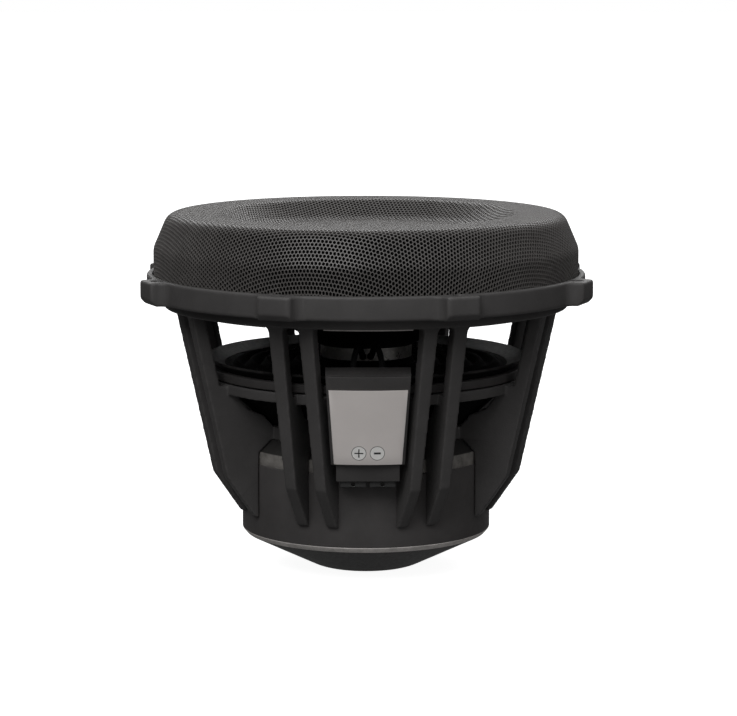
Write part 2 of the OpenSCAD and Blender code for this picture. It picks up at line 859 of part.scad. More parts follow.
turned(rear) lead(neg);  // lead_rear_neg
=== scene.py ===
import json
import math

import bmesh
import bpy
import numpy as np
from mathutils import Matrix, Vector

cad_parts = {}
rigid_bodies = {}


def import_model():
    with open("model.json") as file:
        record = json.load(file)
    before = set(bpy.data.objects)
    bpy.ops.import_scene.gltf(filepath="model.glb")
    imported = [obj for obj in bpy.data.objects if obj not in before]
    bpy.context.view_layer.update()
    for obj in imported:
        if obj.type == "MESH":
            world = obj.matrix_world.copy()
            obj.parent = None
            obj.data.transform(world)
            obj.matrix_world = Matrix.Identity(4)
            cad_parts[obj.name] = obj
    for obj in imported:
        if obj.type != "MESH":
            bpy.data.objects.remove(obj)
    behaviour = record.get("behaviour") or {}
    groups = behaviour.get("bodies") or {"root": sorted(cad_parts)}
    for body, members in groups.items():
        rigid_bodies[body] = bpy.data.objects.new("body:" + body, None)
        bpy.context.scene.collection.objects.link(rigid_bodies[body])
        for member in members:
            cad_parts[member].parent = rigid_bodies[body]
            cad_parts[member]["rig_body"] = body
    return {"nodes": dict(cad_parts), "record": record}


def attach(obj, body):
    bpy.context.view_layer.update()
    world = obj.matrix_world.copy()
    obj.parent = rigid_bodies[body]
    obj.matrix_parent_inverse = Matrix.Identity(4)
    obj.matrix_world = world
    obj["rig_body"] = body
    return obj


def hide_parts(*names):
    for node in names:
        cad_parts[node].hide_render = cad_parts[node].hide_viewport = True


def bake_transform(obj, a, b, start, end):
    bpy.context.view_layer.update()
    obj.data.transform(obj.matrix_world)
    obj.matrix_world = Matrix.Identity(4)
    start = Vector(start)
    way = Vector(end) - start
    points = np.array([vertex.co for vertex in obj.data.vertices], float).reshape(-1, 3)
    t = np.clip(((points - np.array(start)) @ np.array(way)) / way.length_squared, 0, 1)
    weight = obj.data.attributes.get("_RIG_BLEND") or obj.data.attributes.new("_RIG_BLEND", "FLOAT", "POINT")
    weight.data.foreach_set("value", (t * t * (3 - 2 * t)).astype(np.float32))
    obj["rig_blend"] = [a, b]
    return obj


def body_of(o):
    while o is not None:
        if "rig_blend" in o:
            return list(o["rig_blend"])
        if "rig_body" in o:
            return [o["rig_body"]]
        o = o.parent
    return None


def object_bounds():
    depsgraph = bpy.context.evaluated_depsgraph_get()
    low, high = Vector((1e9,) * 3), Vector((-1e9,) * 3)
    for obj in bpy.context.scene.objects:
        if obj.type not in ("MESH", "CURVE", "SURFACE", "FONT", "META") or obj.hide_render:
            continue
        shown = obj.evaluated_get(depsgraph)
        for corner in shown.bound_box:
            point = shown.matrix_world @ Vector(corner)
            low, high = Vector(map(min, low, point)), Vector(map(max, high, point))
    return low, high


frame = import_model()
cad_low, cad_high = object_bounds()

# Points in this script are in millimetres, as in the CAD, and become metres in mesh_of
MM = 0.001
NODES = frame["nodes"]
SLOT_OF = {part["node"]: part["material_slot"] for part in frame["record"]["subparts"]}
FRAME_BODY = "frame"
CONE_BODY = "cone_assembly"
# Sign of a side's X and Y against the front block's, and of a pole's X in its block
SIDES = {"front": 1, "rear": -1}
POLES = {"pos": -1, "neg": 1}

# Sizes shared by several pieces, from the CAD
SHELF_Z = -55
SPIDER_T = 0.8
SPACER_H = 5.8
CLAMP_FIT = 0.1
GLUE = 0.05
FORMER_R = 31.75
CONE_T = 1.4
CONE_ANGLE = math.radians(30)
CONE_R = 100
NECK = (33.1, -33.7)
CONE_RIM_Z = NECK[1] + (CONE_R - NECK[0]) * math.tan(CONE_ANGLE)
SURROUND_T = 1.4
SCREEN_T = 0.5


# ---------- Mesh helpers ----------

def add(name, mesh):
    """A new object with that mesh, in the scene."""
    piece = bpy.data.objects.new(name, mesh)
    bpy.context.scene.collection.objects.link(piece)
    return piece


def mesh_of(name, points, faces):
    """A mesh from points in millimetres and faces."""
    mesh = bpy.data.meshes.new(name)
    mesh.from_pydata([tuple(p) for p in np.asarray(points, float) * MM], [], [list(f) for f in faces])
    mesh.update()
    return mesh


def smooth(piece, angle=32):
    piece.data.shade_smooth()
    piece.data.set_sharp_from_angle(angle=math.radians(angle))


def finish_piece(piece, body, material, stands_for=()):
    """Gives a rigid piece its material, its body and the CAD nodes it stands for."""
    piece.data.materials.clear()
    piece.data.materials.append(material)
    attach(piece, body)
    if stands_for:
        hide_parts(*stands_for)
    return piece


def close_up(mesh, distance):
    """Merges points that coincide, and turns every face outwards."""
    bm = bmesh.new()
    bm.from_mesh(mesh)
    if distance:
        bmesh.ops.remove_doubles(bm, verts=bm.verts, dist=distance)
    bmesh.ops.recalc_face_normals(bm, faces=bm.faces)
    bm.to_mesh(mesh)
    bm.free()
    return mesh


def softened(node, name, width, segments=2, angle=28):
    """A copy of a CAD node's mesh with its edges rounded."""
    bm = bmesh.new()
    bm.from_mesh(NODES[node].data)
    bmesh.ops.remove_doubles(bm, verts=bm.verts, dist=2e-6)
    bmesh.ops.dissolve_degenerate(bm, dist=1e-6, edges=bm.edges)
    limit = math.radians(angle)
    sharp = [e for e in bm.edges if len(e.link_faces) == 2 and e.calc_face_angle(0) > limit]
    bmesh.ops.bevel(
        bm, geom=sharp, offset=width * MM, offset_type="OFFSET", segments=segments,
        profile=0.5, affect="EDGES", clamp_overlap=True,
    )
    bmesh.ops.recalc_face_normals(bm, faces=bm.faces)
    mesh = bpy.data.meshes.new(name)
    bm.to_mesh(mesh)
    bm.free()
    piece = add(name, mesh)
    smooth(piece, 24)
    return piece


def lathe(name, line, steps=240, start=0.0, turn=360.0):
    """Turns a closed line of (radius, height) round Z, with a UV map in metres."""
    whole = turn >= 360
    columns = steps if whole else steps + 1
    line = np.asarray(line, float)
    angles = np.radians(start + turn * np.arange(columns) / steps)
    count = len(line)
    points = np.stack([
        np.outer(np.sin(angles), line[:, 0]),
        -np.outer(np.cos(angles), line[:, 0]),
        np.tile(line[:, 1], (columns, 1)),
    ], axis=2).reshape(-1, 3)
    faces = []
    for i in range(steps):
        a, b = i * count, (i + 1) % columns * count
        for k in range(count):
            n = (k + 1) % count
            faces.append((a + k, b + k, b + n, a + n))
    mesh = mesh_of(name, points, faces)
    length = np.concatenate([[0], np.cumsum(np.linalg.norm(np.diff(line, axis=0), axis=1))])
    round_r = line[:, 0].mean()
    uv = mesh.uv_layers.new(name="turned")
    flat = []
    for i in range(steps):
        u0, u1 = [math.radians(start + turn * (i + j) / steps) * round_r * MM for j in (0, 1)]
        for k in range(count):
            v0 = length[k] * MM
            v1 = length[k + 1] * MM if k + 1 < count else v0
            flat += [u0, v0, u1, v0, u1, v1, u0, v1]
    uv.data.foreach_set("uv", flat)
    return add(name, close_up(mesh, 2e-6))


def corner(a, b, c, radius, steps):
    """Points of a corner at b, rounded with that radius."""
    a, b, c = [np.asarray(p, float) for p in (a, b, c)]
    u, v = (a - b) / np.linalg.norm(a - b), (c - b) / np.linalg.norm(c - b)
    half = math.acos(max(-1, min(1, u @ v))) / 2
    middle = b + (u + v) / np.linalg.norm(u + v) * radius / math.sin(half)
    s, e = b + u * radius / math.tan(half) - middle, b + v * radius / math.tan(half) - middle
    a0, a1 = math.atan2(s[1], s[0]), math.atan2(e[1], e[0])
    sweep = (a1 - a0 + math.pi) % (2 * math.pi) - math.pi
    return [
        middle + radius * np.array([math.cos(a0 + sweep * i / steps), math.sin(a0 + sweep * i / steps)])
        for i in range(steps + 1)
    ]


def rounded(points, steps=10):
    """An open line of (x, y, radius) with its inner corners rounded."""
    line = []
    for i, (x, y, radius) in enumerate(points):
        if radius == 0 or i in (0, len(points) - 1):
            line.append(np.array([x, y], float))
        else:
            line += corner(points[i - 1][:2], (x, y), points[i + 1][:2], radius, steps)
    return np.array(line)


def shifted(line, distance):
    """The line moved to its right."""
    ends = np.pad(line, ((1, 1), (0, 0)), mode="edge")
    t = ends[2:] - ends[:-2]
    t /= np.linalg.norm(t, axis=1)[:, None]
    moved = line + distance * np.stack([t[:, 1], -t[:, 0]], axis=1)
    moved[:, 0] = np.maximum(moved[:, 0], 0)
    return moved


def wall(line, thickness):
    """A closed wall on the right of a line."""
    return np.concatenate([line, shifted(line, thickness)[::-1]])


def joined(pieces, name):
    """One piece from several, with the points along their seams merged."""
    bpy.ops.object.select_all(action="DESELECT")
    for p in pieces:
        p.select_set(True)
    bpy.context.view_layer.objects.active = pieces[0]
    bpy.ops.object.join()
    piece = pieces[0]
    piece.name = name
    piece.data.name = name
    close_up(piece.data, 5e-6)
    return piece


# ---------- Materials ----------

def map_range(tree, value, low, high, to_low, to_high):
    """A value from low..high to to_low..to_high, as a number."""
    made = tree.nodes.new("ShaderNodeMapRange")
    made.inputs["From Min"].default_value = low
    made.inputs["From Max"].default_value = high
    made.inputs["To Min"].default_value = to_low
    made.inputs["To Max"].default_value = to_high
    tree.links.new(value, made.inputs["Value"])
    return made.outputs["Result"]


class Shader:
    """A Principled material whose detail comes from procedural nodes."""

    def __init__(self, name, color, roughness, metallic=0.0, specular=0.3):
        self.material = bpy.data.materials.new(name)
        self.material.use_nodes = True
        self.tree = self.material.node_tree
        self.bsdf = self.tree.nodes["Principled BSDF"]
        self.bsdf.inputs["Base Color"].default_value = (*color, 1)
        self.bsdf.inputs["Roughness"].default_value = roughness
        self.bsdf.inputs["Metallic"].default_value = metallic
        self.bsdf.inputs["Specular IOR Level"].default_value = specular
        self.color = color
        self.roughness = roughness
        self.normal = None
        self.where = self.node("ShaderNodeTexCoord")
        self.place = self.where.outputs["Object"]

    def node(self, kind, **values):
        made = self.tree.nodes.new(kind)
        for key, value in values.items():
            setattr(made, key, value)
        return made

    def link(self, a, b):
        self.tree.links.new(a, b)

    def on_uv(self):
        self.place = self.where.outputs["UV"]
        return self

    def noise(self, scale, detail=3.0, rough=0.5, stretch=None, distortion=0.0):
        made = self.node("ShaderNodeTexNoise")
        made.inputs["Scale"].default_value = scale
        made.inputs["Detail"].default_value = detail
        made.inputs["Roughness"].default_value = rough
        made.inputs["Distortion"].default_value = distortion
        self.link(self.stretched(stretch), made.inputs["Vector"])
        return made.outputs["Fac"]

    def stretched(self, stretch):
        if stretch is None:
            return self.place
        mapping = self.node("ShaderNodeMapping")
        mapping.inputs["Scale"].default_value = stretch
        self.link(self.place, mapping.inputs["Vector"])
        return mapping.outputs["Vector"]

    def ramp(self, factor, low, high, to_low, to_high):
        return map_range(self.tree, factor, low, high, to_low, to_high)

    def tint(self, factor, color):
        """Mixes another colour over the base by a factor."""
        mix = self.node("ShaderNodeMix", data_type="RGBA")
        base = self.bsdf.inputs["Base Color"]
        if base.links:
            self.link(base.links[0].from_socket, mix.inputs[6])
        else:
            mix.inputs[6].default_value = base.default_value[:]
        mix.inputs[7].default_value = (*color, 1)
        self.link(factor, mix.inputs[0])
        self.link(mix.outputs[2], base)
        return self

    def vary(self, scale, amount, detail=4.0):
        """Soft blotches, lighter and darker than the base colour."""
        spread = self.ramp(self.noise(scale, detail, 0.6), 0.35, 0.65, 0, 1)
        return self.tint(spread, [c * (1 + amount) for c in self.color])

    def rough(self, scale, spread):
        """Patches that are rougher and smoother than the base."""
        low, high = self.roughness - spread, self.roughness + spread
        patches = self.ramp(self.noise(scale, 3, 0.6), 0.3, 0.7, low, high)
        self.link(patches, self.bsdf.inputs["Roughness"])
        return self

    def bump(self, height, distance, strength=1.0):
        """Raises the surface by a height, on top of the bumps it has."""
        made = self.node("ShaderNodeBump")
        made.inputs["Distance"].default_value = distance
        made.inputs["Strength"].default_value = strength
        self.link(height, made.inputs["Height"])
        if self.normal is not None:
            self.link(self.normal, made.inputs["Normal"])
        self.normal = made.outputs["Normal"]
        self.link(self.normal, self.bsdf.inputs["Normal"])
        return self

    def wave(self, scale, direction, turn=None):
        """Bands across a direction, with the pattern turned by some degrees."""
        made = self.node("ShaderNodeTexWave", wave_type="BANDS", bands_direction=direction)
        made.inputs["Scale"].default_value = scale
        source = self.place
        if turn is not None:
            mapping = self.node("ShaderNodeMapping")
            mapping.inputs["Rotation"].default_value = (0, 0, math.radians(turn))
            self.link(source, mapping.inputs["Vector"])
            source = mapping.outputs["Vector"]
        self.link(source, made.inputs["Vector"])
        return made.outputs["Fac"]

    def math(self, kind, a, b):
        made = self.node("ShaderNodeMath", operation=kind)
        for socket, value in zip(made.inputs, (a, b)):
            if isinstance(value, (int, float)):
                socket.default_value = value
            else:
                self.link(value, socket)
        return made.outputs[0]

    def painted_edge_highlight(self, color, low=0.53, high=0.62, share=0.8):
        """Painted highlight: lighter where the surface turns outward sharply, broken up by specks."""
        edge = self.node("ShaderNodeNewGeometry").outputs["Pointiness"]
        speck = self.ramp(self.noise(900, 2, 0.7), 0.35, 0.6, 0.25, 1)
        amount = self.math("MULTIPLY", self.ramp(edge, low, high, 0, share), speck)
        return self.tint(amount, color)


def cast_coat():
    s = Shader("cast_powder_coat", (0.062, 0.0595, 0.059), 0.52)
    s.vary(45, 0.16).rough(500, 0.07)
    # painted highlight along the casting's sharp edges
    s.painted_edge_highlight((0.11, 0.106, 0.104), 0.52, 0.58, 0.5)
    s.bump(s.noise(1100, 2.5, 0.55), 0.00012, 0.7)
    s.bump(s.noise(260, 2, 0.5), 0.0001, 0.35)
    return s.material


def grille_paint():
    s = Shader("grille_paint", (0.088, 0.083, 0.08), 0.42, specular=0.45)
    s.vary(60, 0.2).rough(700, 0.06)
    s.bump(s.noise(1500, 2, 0.5), 0.00004, 0.5)
    return s.material


def rubber(name="rubber", color=(0.02, 0.0195, 0.019), roughness=0.5):
    s = Shader(name, color, roughness)
    s.vary(70, 0.3).rough(350, 0.08)
    s.bump(s.noise(900, 3, 0.6), 0.00006, 0.6)
    return s.material


def moulded(name, color, roughness, grain=1400, depth=0.00005):
    s = Shader(name, color, roughness)
    s.vary(50, 0.18).rough(420, 0.06)
    s.bump(s.noise(grain, 2, 0.55), depth, 0.7)
    return s.material


def bowl_painted_shade():
    """Painted shade: near black in the bowl and on its outer wall; only the lip, from about 107 mm out,
    keeps the ring plastic's dark grey.
    """
    s = Shader("bowl_painted_shade", (0.004, 0.004, 0.004), 0.6, specular=0.12)
    flat = s.node("ShaderNodeVectorMath", operation="MULTIPLY")
    flat.inputs[1].default_value = (1, 1, 0)
    s.link(s.place, flat.inputs[0])
    radius = s.node("ShaderNodeVectorMath", operation="LENGTH")
    s.link(flat.outputs[0], radius.inputs[0])
    # painted shade: everything inside the lip stays near black
    s.tint(s.ramp(radius.outputs["Value"], 0.1072, 0.1092, 0, 1), (0.04, 0.038, 0.0375))
    s.vary(50, 0.18).rough(420, 0.06)
    s.bump(s.noise(1400, 2, 0.55), 0.00005, 0.7)
    return s.material


def plate_steel():
    """Dark on the top and the chamfer, worn and lighter on the edge below them."""
    s = Shader("plate_steel", (0.03, 0.029, 0.028), 0.45, metallic=0.3)
    s.rough(160, 0.1)
    split = s.node("ShaderNodeSeparateXYZ")
    s.link(s.place, split.inputs[0])
    below = s.ramp(split.outputs["Z"], -0.1026, -0.1032, 0, 1)
    worn = s.ramp(s.noise(90, 6, 0.7, distortion=0.4), 0.38, 0.7, 0.45, 1)
    s.tint(s.math("MULTIPLY", below, worn), (0.36, 0.34, 0.32))
    s.tint(s.ramp(s.noise(500, 3, 0.6), 0.55, 0.78, 0, 0.4), (0.05, 0.045, 0.04))
    s.bump(s.noise(420, 4, 0.6), 0.0001, 0.5)
    return s.material


def bare_steel():
    s = Shader("bare_steel", (0.82, 0.78, 0.75), 0.42, metallic=0.4)
    s.vary(120, -0.3)
    s.tint(s.ramp(s.noise(900, 3, 0.7), 0.55, 0.8, 0, 0.6), (0.25, 0.24, 0.23))
    s.rough(300, 0.1)
    s.bump(s.noise(700, 3, 0.6), 0.00012, 0.6)
    return s.material


def plain_metal(name, color, roughness, metallic=1.0):
    s = Shader(name, color, roughness, metallic=metallic)
    s.vary(140, -0.18).rough(380, 0.07)
    s.bump(s.noise(900, 3, 0.5), 0.00003, 0.5)
    return s.material


def copper_wire():
    s = Shader("copper_wire", (0.55, 0.24, 0.09), 0.32, metallic=0.85)
    s.vary(90, -0.25).rough(300, 0.05)
    s.bump(s.wave(160, "Z"), 0.0002, 0.9)
    return s.material


def former_foil():
    s = Shader("former_foil", (0.4, 0.39, 0.375), 0.36, metallic=0.75)
    s.tint(s.ramp(s.noise(80, 5, 0.6, distortion=0.4), 0.42, 0.68, 0, 0.6), (0.24, 0.232, 0.224))
    s.tint(s.ramp(s.noise(260, 4, 0.7), 0.55, 0.7, 0, 0.6), (0.62, 0.6, 0.57))
    s.rough(200, 0.12)
    s.bump(s.noise(180, 3, 0.6), 0.00025, 0.5)
    return s.material


def pressed_fibre():
    s = Shader("pressed_fibre", (0.01, 0.0098, 0.0095), 0.65)
    s.vary(120, 0.4).rough(500, 0.08)
    fibres = s.noise(420, 5, 0.75, stretch=(1, 1.8, 0.6), distortion=1.5)
    s.bump(fibres, 0.00022, 0.7)
    return s.material


def woven(name, color, thread, depth=0.0003):
    """Crossing threads over a UV map in metres, a thread's distance apart, with painted shade in the hollows
    between them.
    """
    s = Shader(name, color, 0.85, specular=0.1).on_uv()
    scale = math.pi / (20 * thread)
    cloth = s.math("ADD", s.wave(scale, "X", turn=45), s.wave(scale, "Y", turn=45))
    # painted shade: darker where the weave is low, between the threads
    s.tint(s.ramp(cloth, 0.5, 1.6, 0.8, 0), [c * 0.35 for c in color])
    s.bump(cloth, depth, 0.9)
    s.bump(s.noise(2500, 3, 0.6), 0.00005, 0.5)
    return s.material


def label_foil():
    s = Shader("label_foil", (0.8, 0.75, 0.725), 0.4, metallic=0.1)
    s.vary(30, -0.05).rough(220, 0.06)
    s.tint(s.ramp(s.noise(1800, 2, 0.7), 0.72, 0.78, 0, 0.5), (0.2, 0.19, 0.18))
    s.bump(s.noise(140, 2, 0.5), 0.00006, 0.35)
    return s.material


def ink(name, color):
    s = Shader(name, color, 0.45)
    s.vary(300, 0.06).rough(500, 0.05)
    s.bump(s.noise(1500, 2, 0.5), 0.00001, 0.5)
    return s.material


MATERIALS = {
    "cast_black": cast_coat(),
    "grille_steel": grille_paint(),
    "rubber_black": rubber(),
    "ring_black": moulded("ring_plastic", (0.042, 0.0395, 0.039), 0.55),
    "plate_steel": plate_steel(),
    "ferrite": moulded("ferrite", (0.06, 0.06, 0.063), 0.6, 800, 0.0001),
    "cover_black": moulded("cover_coat", (0.064, 0.0605, 0.06), 0.5, 1500, 0.00008),
    "bare_steel": bare_steel(),
    "copper": copper_wire(),
    "cap_black": moulded("cap_coat", (0.03, 0.029, 0.0285), 0.5, 1500, 0.00008),
    "screw_steel": plain_metal("screw_steel", (0.1, 0.1, 0.1), 0.4, 0.8),
    "cone_black": pressed_fibre(),
    "former_aluminium": former_foil(),
    "surround_rubber": rubber("surround_rubber", (0.012, 0.0118, 0.0115), 0.45),
    "spider_cloth": woven("spider_cloth", (0.0035, 0.0034, 0.0033), 0.0009),
    "screen_cloth": woven("screen_cloth", (0.003, 0.003, 0.003), 0.0007, depth=0.0002),
    "terminal_black": moulded("terminal_plastic", (0.056, 0.0535, 0.053), 0.46, 1300, 0.00007),
    "label_grey": label_foil(),
    "contact_brass": plain_metal("contact_brass", (0.6, 0.45, 0.2), 0.3),
    "tab_black": moulded("tab_plastic", (0.03, 0.03, 0.03), 0.32, 1500, 0.00003),
    "spring_steel": plain_metal("spring_steel", (0.55, 0.55, 0.55), 0.25),
    "lead_sleeve": woven("lead_sleeve", (0.02, 0.02, 0.02), 0.0008, depth=0.00025),
}
# Nodes that look different from their slot's other nodes; the clamp ring's bowl has painted shade
OWN_MATERIAL = {"spider_clamp_ring": bowl_painted_shade()}
WHITE_INK = ink("white_ink", (0.85, 0.84, 0.82))
DARK_INK = ink("dark_ink", (0.045, 0.043, 0.042))


# ---------- Camera, light and floor ----------

def make_camera():
    """In metres: a long lens that looks slightly down, from a little left of the front."""
    distance, look_z = 1.9767, -0.0448
    pitch, turn = math.radians(8.15), math.radians(0.7)
    level, rise = distance * math.cos(pitch), distance * math.sin(pitch)
    data = bpy.data.cameras.new("camera")
    data.lens = 138.85
    data.sensor_width = 36
    data.shift_x = 0.0034
    data.clip_end = 100
    camera = bpy.data.objects.new("camera", data)
    camera.location = (-level * math.sin(turn), -level * math.cos(turn), look_z + rise)
    camera.rotation_euler = (math.pi / 2 - pitch, 0, -turn)
    bpy.context.scene.collection.objects.link(camera)
    bpy.context.scene.camera = camera


def make_light(name, place, target, size, power):
    """A white area light, in metres and watts."""
    data = bpy.data.lights.new(name, "AREA")
    data.shape = "RECTANGLE"
    data.size, data.size_y = size
    data.energy = power
    lamp = bpy.data.objects.new(name, data)
    lamp.location = place
    lamp.rotation_euler = (Vector(target) - Vector(place)).to_track_quat("-Z", "Y").to_euler()
    bpy.context.scene.collection.objects.link(lamp)


def make_floor():
    """A pale disc under the object that runs out of the picture."""
    sides, reach, floor_z = 64, 18000, cad_low.z / MM
    angles = np.linspace(0, 2 * math.pi, sides, endpoint=False)
    points = [(0, 0, floor_z)] + [(reach * math.sin(a), reach * math.cos(a), floor_z) for a in angles]
    faces = [(0, i % sides + 1, (i + 1) % sides + 1) for i in range(sides)]
    floor = add("floor", mesh_of("floor", points, faces))
    paint = Shader("floor_paint", (0.5, 0.5, 0.5), 0.9, specular=0)
    paint.vary(2, 0.01)
    paint.bsdf.inputs["Emission Color"].default_value = (1, 1, 1, 1)
    paint.bsdf.inputs["Emission Strength"].default_value = 0.93
    floor.data.materials.append(paint.material)
    floor.visible_diffuse = False
    floor.visible_glossy = False


def make_world():
    """White to the camera. It lights the object softly from above, and weakly from the sides and below."""
    world = bpy.data.worlds.new("studio")
    world.use_nodes = True
    tree = world.node_tree

    def combined(kind, a, b=None):
        made = tree.nodes.new("ShaderNodeMath")
        made.operation = kind
        tree.links.new(a, made.inputs[0])
        if b is not None:
            tree.links.new(b, made.inputs[1])
        return made.outputs[0]

    where = tree.nodes.new("ShaderNodeTexCoord")
    split = tree.nodes.new("ShaderNodeSeparateXYZ")
    tree.links.new(where.outputs["Generated"], split.inputs[0])
    above = map_range(tree, split.outputs["Z"], 0.0, 0.9, 0.17, 1.15)
    sides = map_range(tree, combined("ABSOLUTE", split.outputs["X"]), 0.2, 0.95, 1.0, 0.08)
    to_camera = tree.nodes.new("ShaderNodeLightPath").outputs["Is Camera Ray"]
    strength = combined("MAXIMUM", to_camera, combined("MULTIPLY", above, sides))
    glow = tree.nodes["Background"]
    tree.links.new(strength, glow.inputs["Strength"])
    glow.inputs["Color"].default_value = (1, 1, 1, 1)
    bpy.context.scene.world = world


def make_stage():
    make_floor()
    make_world()
    bpy.context.scene.view_settings.view_transform = "Standard"
    make_light("key", (-1.2, -2.6, 2.4), (0, 0, -0.05), (2.0, 1.8), 54)
    make_light("side", (2.6, -1.8, 0.9), (0, 0, -0.05), (1.6, 2.0), 6)
    make_light("back", (0.2, 2.6, 1.5), (0, 0, 0.05), (3.0, 1.2), 30)


# ---------- Basket ----------

def make_basket():
    """The cast basket, with its edges rounded by a fine remesh of the CAD solid."""
    voxel = 0.95 * MM
    source = add("basket_source", NODES["basket"].data.copy())
    remesh = source.modifiers.new("remesh", "REMESH")
    remesh.mode = "VOXEL"
    remesh.voxel_size = voxel
    relax = source.modifiers.new("relax", "SMOOTH")
    relax.factor = 0.5
    relax.iterations = 3
    fewer = source.modifiers.new("fewer", "DECIMATE")
    fewer.ratio = 0.2
    graph = bpy.context.evaluated_depsgraph_get()
    mesh = bpy.data.meshes.new_from_object(source.evaluated_get(graph))
    bpy.data.objects.remove(source)
    piece = add("basket_casting", mesh)
    mesh.name = "basket_casting"
    smooth(piece, 50)
    finish_piece(piece, FRAME_BODY, MATERIALS["cast_black"], ["basket"])


# ---------- Grille ----------

GRILLE_T = 1.2
# Distance between holes in the flat, and a hole's size as a share of its cell
HOLE_PITCH = 2.73
HOLE_SHARE = 0.77
HOLE_TILT = math.radians(-15)
LATTICE = HOLE_PITCH * np.array([
    [math.cos(HOLE_TILT), math.sin(HOLE_TILT)],
    [math.cos(HOLE_TILT + math.pi / 3), math.sin(HOLE_TILT + math.pi / 3)],
])
# The six corners of a cell from its centre, in thirds of the two lattice steps
CELL_CORNERS = np.array([(1, 1), (-1, 2), (-2, 1), (-1, -1), (1, -2), (2, -1)])


def grille_line():
    """The sheet's outer face, from the middle of the dish to the foot of the wall."""
    return rounded([
        (0, 44.5, 0), (84.3, 44.5, 20), (102.4, 57.2, 8), (136.4, 57.2, 9.7),
        (146.7, 33.4, 14), (146.7, 7.9, 0),
    ], 14)


def drawn_shape():
    """Flat radii of the sheet, and the points that they are drawn to on its outer and inner face."""
    line = grille_line()
    dense = [line[0]]
    for a, b in zip(line[:-1], line[1:]):
        n = max(1, int(np.linalg.norm(b - a) / 0.5))
        dense += [a + (b - a) * (i + 1) / n for i in range(n)]
    dense = np.array(dense)
    step = np.linalg.norm(np.diff(dense, axis=0), axis=1)
    middle_r = (dense[1:, 0] + dense[:-1, 0]) / 2
    flat = np.sqrt(2 * np.concatenate([[0], np.cumsum(middle_r * step)]))
    return flat, dense, shifted(dense, GRILLE_T)


def hole_lattice(reach):
    """The flat sheet's cells: their centres, the keys of their corners, and which have a hole."""
    n = int(reach / HOLE_PITCH * 1.2) + 2
    steps = np.arange(-n, n + 1)
    cells = np.stack(np.meshgrid(steps, steps, indexing="ij"), axis=-1).reshape(-1, 2)
    centre = cells @ LATTICE
    distance = np.linalg.norm(centre, axis=1)
    keep = distance < reach + HOLE_PITCH * 0.35
    keys = 3 * cells[keep][:, None, :] + CELL_CORNERS[None]
    return centre[keep], keys, distance[keep] < reach - HOLE_PITCH * 0.9


def perforated(centre, keys, has_hole):
    """Flat points of some cells, and the faces of a sheet whose second side repeats the points."""
    unique, index = np.unique(keys.reshape(-1, 2), axis=0, return_inverse=True)
    index = index.reshape(-1, 6)
    middle = centre[has_hole][:, None, :]
    holes = (middle + HOLE_SHARE * (keys[has_hole] @ LATTICE / 3 - middle)).reshape(-1, 2)
    flat = np.concatenate([unique @ LATTICE / 3, holes])
    half = len(flat)
    cells = index[has_hole]
    first = len(unique) + 6 * np.arange(len(cells))
    quads = []
    for k in range(6):
        m = (k + 1) % 6
        c0, c1, h0, h1 = cells[:, k], cells[:, m], first + k, first + m
        quads.append(np.stack([c0, c1, h1, h0], axis=1))
        quads.append(np.stack([c1, c0, h0, h1], axis=1) + half)
        quads.append(np.stack([h0, h1, h1 + half, h0 + half], axis=1))
    edges = np.stack([index, np.roll(index, -1, axis=1)], axis=2).reshape(-1, 2)
    there = edges[:, 0] * half + edges[:, 1]
    back = edges[:, 1] * half + edges[:, 0]
    a, b = edges[~np.isin(there, back)].T
    quads.append(np.stack([b, a, a + half, b + half], axis=1))
    whole = index[~has_hole]
    faces = np.concatenate(quads).tolist() + whole.tolist() + (whole[:, ::-1] + half).tolist()
    return flat, faces


def make_grille():
    """Perforated sheet: a triangular lattice of holes in the flat, drawn over the press shape."""
    flat_r, outer, inner = drawn_shape()
    reach = flat_r[-1]
    centre, keys, has_hole = hole_lattice(reach)
    quarter = ((np.degrees(np.arctan2(centre[:, 1], centre[:, 0])) + 360) % 360 // 90).astype(int)

    def drawn(points, line):
        s = np.minimum(np.linalg.norm(points, axis=1), reach)
        a = np.arctan2(points[:, 0], -points[:, 1])
        r, z = np.interp(s, flat_r, line[:, 0]), np.interp(s, flat_r, line[:, 1])
        return np.stack([r * np.sin(a), -r * np.cos(a), z], axis=1)

    for q in range(4):
        mine = quarter == q
        flat, faces = perforated(centre[mine], keys[mine], has_hole[mine])
        points = np.concatenate([drawn(flat, outer), drawn(flat, inner)])
        piece = add(f"grille_mesh_{q + 1}", mesh_of("grille_mesh", points, faces))
        smooth(piece, 40)
        finish_piece(piece, FRAME_BODY, MATERIALS["grille_steel"], ["grille"])


def make_grille_lining():
    """Thin black cloth on the inside of the grille."""
    gap, thick, foot_z = 0.15, 0.4, 8.3
    line = shifted(grille_line(), GRILLE_T + gap)
    line[-1, 1] = foot_z
    line[0, 0] = 0
    piece = lathe("grille_lining", wall(line, thick))
    smooth(piece)
    finish_piece(piece, FRAME_BODY, MATERIALS["screen_cloth"])


# ---------- Soft parts ----------

def between(line, name, node, slot_name, outer_r, inner_r):
    """A turned soft piece that is held by the frame outside and by the cone assembly inside.

    It is made as sectors, because a blend runs along one straight line.
    """
    sectors, columns = 24, 10
    parts = []
    for k in range(sectors):
        part = lathe(f"{name}_{k}", line, columns, 360 * k / sectors, 360 / sectors)
        a = math.radians(360 * (k + 0.5) / sectors)
        out = Vector((math.sin(a), -math.cos(a), 0)) * MM
        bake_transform(part, FRAME_BODY, CONE_BODY, start=out * outer_r, end=out * inner_r)
        parts.append(part)
    piece = joined(parts, name)
    smooth(piece, 60)
    piece.data.materials.clear()
    piece.data.materials.append(MATERIALS[slot_name])
    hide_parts(node)


